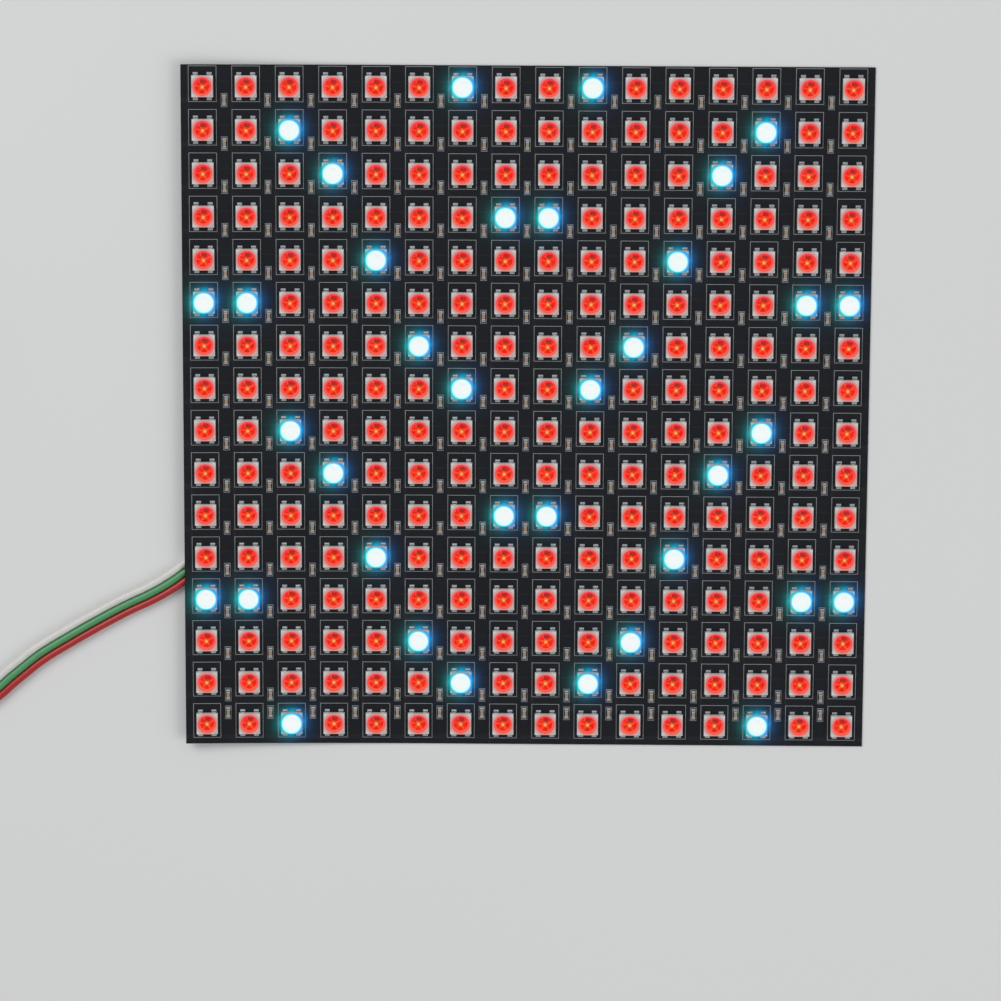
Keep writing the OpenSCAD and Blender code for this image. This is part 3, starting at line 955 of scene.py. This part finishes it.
# %% [markdown]
# ## White printing
# A thin white outline is printed round each lamp and each capacitor. It is ink a few hundredths
# of a millimetre thick. It could be drawn in the sheet's material, but lines 0.15 mm wide on a
# panel 160 mm wide need a very fine texture once baked, so they are thin solid frames instead,
# made from a rectangle curve swept by a flat strip in a second Geometry Nodes tree.

# %% The tree that prints outlines
LINE_W = 0.15 * MM
INK_T = 0.02 * MM


def outline_tree():
    """Geometry Nodes: a rectangular line of flat section round each seat."""
    tree = bpy.data.node_groups.new("print_outlines", "GeometryNodeTree")
    tree.interface.new_socket("Seats", in_out="INPUT", socket_type="NodeSocketGeometry")
    ids = {name: group_input(tree, name, "NodeSocketFloat", 0.001)
           for name in ("Width", "Height", "Line Width", "Ink Thickness", "Upward")}
    ids["Finish"] = group_input(tree, "Finish", "NodeSocketMaterial")
    tree.interface.new_socket("Lines", in_out="OUTPUT", socket_type="NodeSocketGeometry")
    inp = tree.nodes.new("NodeGroupInput").outputs
    frame_line = tree.nodes.new("GeometryNodeCurvePrimitiveQuadrilateral")
    strip = tree.nodes.new("GeometryNodeCurvePrimitiveQuadrilateral")
    tree.links.new(inp["Width"], frame_line.inputs["Width"])
    tree.links.new(inp["Height"], frame_line.inputs["Height"])
    tree.links.new(inp["Line Width"], strip.inputs["Width"])
    tree.links.new(inp["Ink Thickness"], strip.inputs["Height"])
    swept = add(tree, "GeometryNodeCurveToMesh", frame_line.outputs[0], strip.outputs[0])
    shift = tree.nodes.new("ShaderNodeCombineXYZ")
    tree.links.new(inp["Upward"], shift.inputs[1])
    moved = add(tree, "GeometryNodeTransform", swept.outputs[0])
    tree.links.new(shift.outputs[0], moved.inputs["Translation"])
    on_each_seat(tree, inp, moved.outputs[0])
    return tree, ids


OUTLINES, OUTLINE_IDS = outline_tree()
print("outline tree:", len(OUTLINES.nodes), "nodes, inputs", ", ".join(OUTLINE_IDS))

# %% Ink round lamps and capacitors
LAMP_OUTLINE = (6.4, 8.2, 0.55)      # width, height and shift towards the top row, in mm
CAP_OUTLINE = (1.35, 3.1, 0.0)


def print_outlines(name, places, outline, material):
    width, height, upward = outline
    host = put_in_scene(name + "_seats", seats(name, places, SHEET_T + INK_T / 2))
    run_tree(host, OUTLINES, OUTLINE_IDS,
             {"Width": width * MM, "Height": height * MM, "Line Width": LINE_W,
              "Ink Thickness": INK_T, "Upward": upward * MM, "Finish": material})
    return plain_piece(host, name)


def white_ink():
    material, shader, tree = finish_of("white_ink", Roughness=0.6)
    worn = object_noise(tree, 3000)
    colour_by(tree, shader, worn, (0.24, 0.25, 0.26), (0.44, 0.45, 0.46))
    roughen(tree, shader, worn, 0.1, 0.0001)
    return material


ink = white_ink()
print_outlines("lamp_outlines", lamp_places, LAMP_OUTLINE, ink)
print_outlines("capacitor_outlines", capacitor_places, CAP_OUTLINE, ink)

# %% [markdown]
# ## The black circuit
# The sheet is a film with copper tracks under matt black solder mask. The tracks show only as
# low ridges and a slightly warmer black. The CAD sheet has the right shape, but its gentle bend
# is cut into a few flats that would swallow the thin ink, so the sheet is made again as a fine
# grid that follows the same bend, with the pads' shallow openings left in its back.

# %% Pads on the back
PAD_L, PAD_W = 3.4 * MM, 1.8 * MM
LEAD_PAD = (-72 * MM, -36.8 * MM)       # the middle one of the lead's three pads
POWER_W, POWER_PITCH = 4 * MM, 7 * MM


def pad_patches():
    """Low and high corners of each pad on the back, in flat places."""
    patches = []
    for side in (1, -1):
        for k in (-1, 0, 1):
            x, y = side * LEAD_PAD[0], side * LEAD_PAD[1] + k * PAD_PITCH * MM
            patches.append((x - PAD_L / 2, y - PAD_W / 2, x + PAD_L / 2, y + PAD_W / 2))
        y = side * POWER_PITCH / 2
        patches.append((-POWER_W / 2, y - POWER_W / 2, POWER_W / 2, y + POWER_W / 2))
    return patches


print(len(pad_patches()), "pads on the back")

# %% The sheet's grid
SHEET_STEP = PITCH / 8
MASK_T = 0.04 * MM                      # depth of the openings over the pads


def cuts_along(low, high, step, extra):
    """Places from low to high a step apart, with some extra ones put in."""
    count = round((high - low) / step)
    places = {round(low + (high - low) * k / count, 7) for k in range(count + 1)}
    return sorted(places | {round(v, 7) for v in extra})


def rim_places(last_x, last_y):
    """The grid's outer places, once round."""
    return ([(i, 0) for i in range(last_x)] + [(last_x, j) for j in range(last_y)]
            + [(i, last_y) for i in range(last_x, 0, -1)] + [(0, j) for j in range(last_y, 0, -1)])


def build_sheet(bm):
    patches = pad_patches()
    xs = cuts_along(-HALF, HALF, SHEET_STEP, [v for p in patches for v in (p[0], p[2])] + [RISE_X])
    ys = cuts_along(-HALF, HALF, SHEET_STEP, [v for p in patches for v in (p[1], p[3])])
    faces_up = [[bm.verts.new(on_sheet(x, y, SHEET_T)) for y in ys] for x in xs]
    back = [[bm.verts.new(on_sheet(x, y, 0)) for y in ys] for x in xs]
    sunk = {}

    def bare(i, j):
        x, y = (xs[i] + xs[i + 1]) / 2, (ys[j] + ys[j + 1]) / 2
        return any(p[0] < x < p[2] and p[1] < y < p[3] for p in patches)

    def low_vert(i, j):
        if (i, j) not in sunk:
            sunk[i, j] = bm.verts.new(on_sheet(xs[i], ys[j], MASK_T))
        return sunk[i, j]

    for i in range(len(xs) - 1):
        for j in range(len(ys) - 1):
            corners = ((i, j), (i + 1, j), (i + 1, j + 1), (i, j + 1))
            bm.faces.new([faces_up[a][b] for a, b in corners])
            if not bare(i, j):
                bm.faces.new([back[a][b] for a, b in reversed(corners)])
                continue
            bm.faces.new([low_vert(a, b) for a, b in reversed(corners)])
            beside = ((i, j - 1), (i + 1, j), (i, j + 1), (i - 1, j))
            for (a, b), (c, d), cell in zip(corners, corners[1:] + corners[:1], beside):
                if not bare(*cell):
                    bm.faces.new((back[a][b], back[c][d], low_vert(c, d), low_vert(a, b)))
    rim = rim_places(len(xs) - 1, len(ys) - 1)
    for (a, b), (c, d) in zip(rim, rim[1:] + rim[:1]):
        bm.faces.new((back[a][b], back[c][d], faces_up[c][d], faces_up[a][b]))


sheet_mesh = mesh_from("board", build_sheet)
print("sheet:", len(sheet_mesh.polygons), "faces")

# %% [markdown]
# ## Light on the sheet
# A cool lamp throws a halo on the black sheet round it, greener on its left and bluer on its
# right, that fades fast with distance. As nodes, 36 halos would be hundreds of sums in one
# material, and a lamp light in each cup would be slow and grainy. The sheet is a fine grid
# already, so numpy works out one colour for each of its points, and the material shows it.

# %% A colour on each point
GLOW_FROM = 2.5 * MM         # full strength up to here, and a steep fall beyond
GLOW_FALL = 4.5
GLOW_LEFT, GLOW_RIGHT = np.array((0.0, 0.52, 0.50)), np.array((0.0, 0.27, 0.85))


def paint_glow(mesh):
    """A colour on each point of the sheet: the light that the cool lamps throw there."""
    place = np.array([vertex.co.to_2d() for vertex in mesh.vertices])
    glow = np.zeros((len(place), 4))
    for x, y in cool_places:
        aside, along = (place - (x, y)).T
        strength = (GLOW_FROM / np.maximum(np.hypot(aside, along), GLOW_FROM)) ** GLOW_FALL
        right = np.clip(aside / PITCH + 0.5, 0, 1)
        right = right * right * (3 - 2 * right)
        glow[:, :3] += np.outer(strength * (1 - right), GLOW_LEFT) + np.outer(strength * right, GLOW_RIGHT)
    glow[:, 3] = 1
    mesh.attributes.new("glow", "FLOAT_COLOR", "POINT").data.foreach_set("color", glow.ravel())
    return glow[:, :3].max(axis=0)


print("brightest glow on the sheet", [round(v, 2) for v in paint_glow(sheet_mesh)])

# %% [markdown]
# ## Solder mask
# The mask is matt and nearly black. Copper under it shows as low ridges: a wide supply rail and a
# thin data line along each row of lamps, and a feed down each column. All are stripes at the
# lamps' own pitch, so a few sums on the sheet's own metres give them and no texture is needed.

# %% Mask over copper
def stripes(tree, value, pitch, offset, half_width):
    """1 within half_width of lines a pitch apart, all in metres."""
    wrapped = maths(tree, "PINGPONG", maths(tree, "SUBTRACT", value, offset), pitch / 2)
    return maths(tree, "LESS_THAN", wrapped, half_width)


def solder_mask():
    material, shader, tree = finish_of("black_solder_mask", Roughness=0.4, Specular_IOR_Level=0.25,
                                       Emission_Strength=1.0)
    place = add(tree, "ShaderNodeSeparateXYZ", tree.nodes.new("ShaderNodeTexCoord").outputs["Object"])
    x, y = place.outputs[0], place.outputs[1]
    rails = stripes(tree, y, PITCH, 1.6 * MM, 0.5 * MM)
    data = stripes(tree, y, PITCH, -3.9 * MM, 0.14 * MM)
    feed = stripes(tree, x, PITCH, 1.75 * MM, 0.3 * MM)
    copper = maths(tree, "MAXIMUM", maths(tree, "MAXIMUM", rails, data), feed)
    cloud = object_noise(tree, 60, 4)
    black = blend(tree, cloud, (0.006, 0.007, 0.010), (0.010, 0.011, 0.015))
    over_copper = blend(tree, cloud, (0.010, 0.011, 0.013), (0.016, 0.017, 0.020))
    colour_by(tree, shader, copper, black, over_copper)
    glow = add(tree, "ShaderNodeVertexColor", layer_name="glow").outputs[0]
    on_top = rise(tree, facing_up(tree), 0.4, 0.6)
    colour_by(tree, shader, on_top, BLACK, glow, "Emission Color")
    fine = object_noise(tree, 5000, 2)
    height = maths(tree, "MULTIPLY_ADD", copper, 1.0, maths(tree, "MULTIPLY", fine, 0.25))
    roughen(tree, shader, height, 0.35, 0.00004)
    rough = maths(tree, "MULTIPLY_ADD", fine, 0.16, 0.36)
    tree.links.new(rough, shader.inputs["Roughness"])
    return material


sheet_mesh.materials.append(solder_mask())
board = put_in_scene("board", sheet_mesh)
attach(board, "root")
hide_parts("flex_sheet")
print("the sheet carries", sheet_mesh.materials[0].name)

# %% [markdown]
# ## What keeps its CAD shape
# Terminals, pads, solder joints and contacts are right as they are: small, crisp metal pieces.
# They only need a finish, which is put into their own material slots.

# %% Finishes for the CAD nodes
def dress(node, material):
    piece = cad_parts[node]
    for material_slot in piece.material_slots:
        material_slot.material = material


gold = tinned("thin_gold", (0.83, 0.62, 0.3), 0.3)
for row in range(1, LAMPS_A_SIDE + 1):
    dress(f"terminals_row_{row:02d}", tin)
dress("solder_joints", solder)
dress("back_pads", gold)
dress("plug_contacts", gold)
print("terminals, solder joints, pads and contacts dressed")

# %% [markdown]
# ## The plug
# The lead ends in a moulded nylon plug: a rear block, a slimmer nose, three square cavities that
# run right through, and a sprung latch over the top. Moulded edges are softly rounded. A block
# with square holes is quickest made from box cells between a few cuts, keeping only the faces
# that have no neighbour; the latch is its side outline pushed across. Both get a small bevel
# from a modifier, which leaves the level faces alone.

# %% The moulding
plug_low, plug_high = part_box("plug_housing")
PLUG_AT = Vector(((plug_low.x + plug_high.x) / 2, plug_low.y, 0))
PLUG_W, PLUG_H, PLUG_L = 10, 5.2, 19      # all in mm
REAR_L = 8
NOSE_STEP = 0.5
NOSE_TOP = PLUG_H - NOSE_STEP
CAVITY_W = 2
CAVITIES = [k * PLUG_PITCH for k in (-1, 0, 1)]


def in_plug(x, y, z):
    """True where the moulding is solid, in mm from the middle of the rear face's foot."""
    in_row = any(abs(x - middle) < CAVITY_W / 2 for middle in CAVITIES)
    if in_row and abs(z - PLUG_H / 2) < CAVITY_W / 2:
        return False
    step = 0 if y < REAR_L else NOSE_STEP
    return abs(x) < PLUG_W / 2 - step and step < z < PLUG_H - step


print("the plug's rear face stands at", [round(v / MM, 2) for v in PLUG_AT], "mm")


# %% Box cells and their skin
def skin_of_cells(bm, cuts, is_solid):
    """Faces between the box cells that are solid and those that aren't."""
    corners = {}

    def corner(place):
        if place not in corners:
            corners[place] = bm.verts.new(PLUG_AT + Vector([cuts[a][place[a]] for a in range(3)]) * MM)
        return corners[place]

    def solid(cell):
        if any(not 0 <= cell[a] < len(cuts[a]) - 1 for a in range(3)):
            return False
        return is_solid(*[(cuts[a][cell[a]] + cuts[a][cell[a] + 1]) / 2 for a in range(3)])

    cells = [(i, j, k) for i in range(len(cuts[0]) - 1) for j in range(len(cuts[1]) - 1)
             for k in range(len(cuts[2]) - 1)]
    for cell in filter(solid, cells):
        for axis in range(3):
            for side in (0, 1):
                beside = tuple(cell[a] + (2 * side - 1) * (a == axis) for a in range(3))
                if solid(beside):
                    continue
                u, v = [a for a in range(3) if a != axis]
                square_of = []
                for du, dv in ((0, 0), (1, 0), (1, 1), (0, 1)):
                    place = list(cell)
                    place[axis] += side
                    place[u] += du
                    place[v] += dv
                    square_of.append(corner(tuple(place)))
                bm.faces.new(square_of)


def build_shell(bm):
    half, nose, middle = PLUG_W / 2, PLUG_W / 2 - NOSE_STEP, PLUG_H / 2
    holes = [x + side * CAVITY_W / 2 for x in CAVITIES for side in (-1, 1)]
    skin_of_cells(bm, (sorted([-half, -nose] + holes + [nose, half]), [0, REAR_L, PLUG_L],
                       [0, NOSE_STEP, middle - CAVITY_W / 2, middle + CAVITY_W / 2, NOSE_TOP, PLUG_H]),
                  in_plug)


print("the shell has", len(CAVITIES), "cavities,", CAVITY_W, "mm square")

# %% The latch
LATCH_W = 4                           # all in mm
CATCH_Y, CATCH_L = 10.5, 1
THUMB_Y, THUMB_L = 1, 2
ROOT_Y, ROOT_L = 18, 2
ROOT_SINK = 0.2                       # the root starts this far inside the nose
ROOT_CHAMFER = 0.4
UNDER, ARM, CREST = 5.5, 6.3, 6.9     # heights of the latch's underside, arm and catch


def build_latch(bm):
    """The latch's side outline, pushed across."""
    sunk = NOSE_TOP - ROOT_SINK
    outline = [(ROOT_Y, sunk), (ROOT_Y, ARM - ROOT_CHAMFER), (ROOT_Y - ROOT_CHAMFER, ARM),
               (CATCH_Y + 2 * CATCH_L, ARM), (CATCH_Y + CATCH_L, CREST), (CATCH_Y, CREST),
               (CATCH_Y, ARM), (THUMB_Y + THUMB_L + CREST - ARM, ARM), (THUMB_Y + THUMB_L, CREST),
               (THUMB_Y, CREST), (THUMB_Y, UNDER), (ROOT_Y - ROOT_L, UNDER), (ROOT_Y - ROOT_L, sunk)]
    sides = [[bm.verts.new(PLUG_AT + Vector((x, y, z)) * MM) for y, z in outline]
             for x in (-LATCH_W / 2, LATCH_W / 2)]
    skirt(bm, *sides)
    for side in sides:
        bm.faces.new(side)


def build_plug(bm):
    build_shell(bm)
    build_latch(bm)


print("the latch's catch stands", round(CREST - ARM, 2), "mm over its arm")


# %% Nylon, and edges rounded
def nylon():
    material, shader, tree = finish_of("black_nylon", Roughness=0.45, Specular_IOR_Level=0.45)
    cloud = object_noise(tree, 400)
    colour_by(tree, shader, cloud, (0.013, 0.013, 0.014), (0.022, 0.022, 0.023))
    roughen(tree, shader, object_noise(tree, 4000, 3), 0.15, 0.0001)
    return material


def moulded(name, build, width, material, node):
    """A piece built in bmesh that stands for a CAD node, with its sharp edges rounded."""
    mesh = mesh_from(name, build)
    mesh.materials.append(material)
    piece = put_in_scene(name, mesh)
    bevel = piece.modifiers.new("rounding", "BEVEL")
    bevel.width, bevel.segments, bevel.limit_method = width, 2, "ANGLE"
    bevel.angle_limit = math.radians(30)
    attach(piece, "root")
    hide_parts(node)
    return piece


plug = moulded("plug_shell", build_plug, 0.1 * MM, nylon(), "plug_housing")
print("plug shell:", len(plug.data.polygons), "faces before its edges are rounded")

# %% [markdown]
# ## The table and the light
# A pale plain table and soft light from large lamps keep every colour close to what it is. The
# panel is black and seen nearly from straight above, so the large lamps stand to the sides,
# where it doesn't mirror them into the camera. Two faces in the same plane flicker through each
# other, so the table lies a hair below the panel, and it is clear to a camera from below.

# %% Table
TABLE_DROP = 0.02 * MM
TABLE_HALF = 1.5


def make_floor():
    mesh = bpy.data.meshes.new("table")
    mesh.from_pydata([(x, y, -TABLE_DROP) for x, y in square(TABLE_HALF)], [], [(0, 1, 2, 3)])
    material, shader, tree = finish_of("pale_table", Roughness=0.8, Specular_IOR_Level=0.2)
    cloud = object_noise(tree, 3, 2)
    colour_by(tree, shader, cloud, (0.79, 0.79, 0.78), (0.83, 0.83, 0.82))
    from_below = maths(tree, "MULTIPLY", add(tree, "ShaderNodeNewGeometry").outputs["Backfacing"],
                       add(tree, "ShaderNodeLightPath").outputs["Is Camera Ray"])
    clear = add(tree, "ShaderNodeBsdfTransparent").outputs[0]
    surface = add(tree, "ShaderNodeMixShader", from_below, shader.outputs[0], clear).outputs[0]
    tree.links.new(surface, tree.nodes["Material Output"].inputs["Surface"])
    mesh.materials.append(material)
    floor = put_in_scene("table", mesh)
    return floor


floor = make_floor()
print("table:", floor.dimensions.x, "m wide")


# %% Soft light
def soft_lamp(name, place, size, power):
    """A square lamp that faces the middle of the panel."""
    light = bpy.data.lights.new(name, "AREA")
    light.shape, light.size, light.energy = "SQUARE", size, power
    lamp = put_in_scene(name, light)
    lamp.location = place
    lamp.rotation_euler = (-Vector(place)).to_track_quat("-Z", "Y").to_euler()


def make_world(strength):
    world = bpy.data.worlds.new("studio")
    world.use_nodes = True
    background = world.node_tree.nodes["Background"]
    background.inputs["Color"].default_value = (0.95, 0.97, 1.0, 1)
    background.inputs["Strength"].default_value = strength
    bpy.context.scene.world = world


soft_lamp("key", (-0.9, 0.9, 1.1), 0.9, 12)
soft_lamp("fill", (1.2, -0.5, 0.9), 1.0, 7)
make_world(0.4)
bpy.context.scene.view_settings.view_transform = "Standard"
print("lights:", ", ".join(light.name for light in bpy.data.lights))
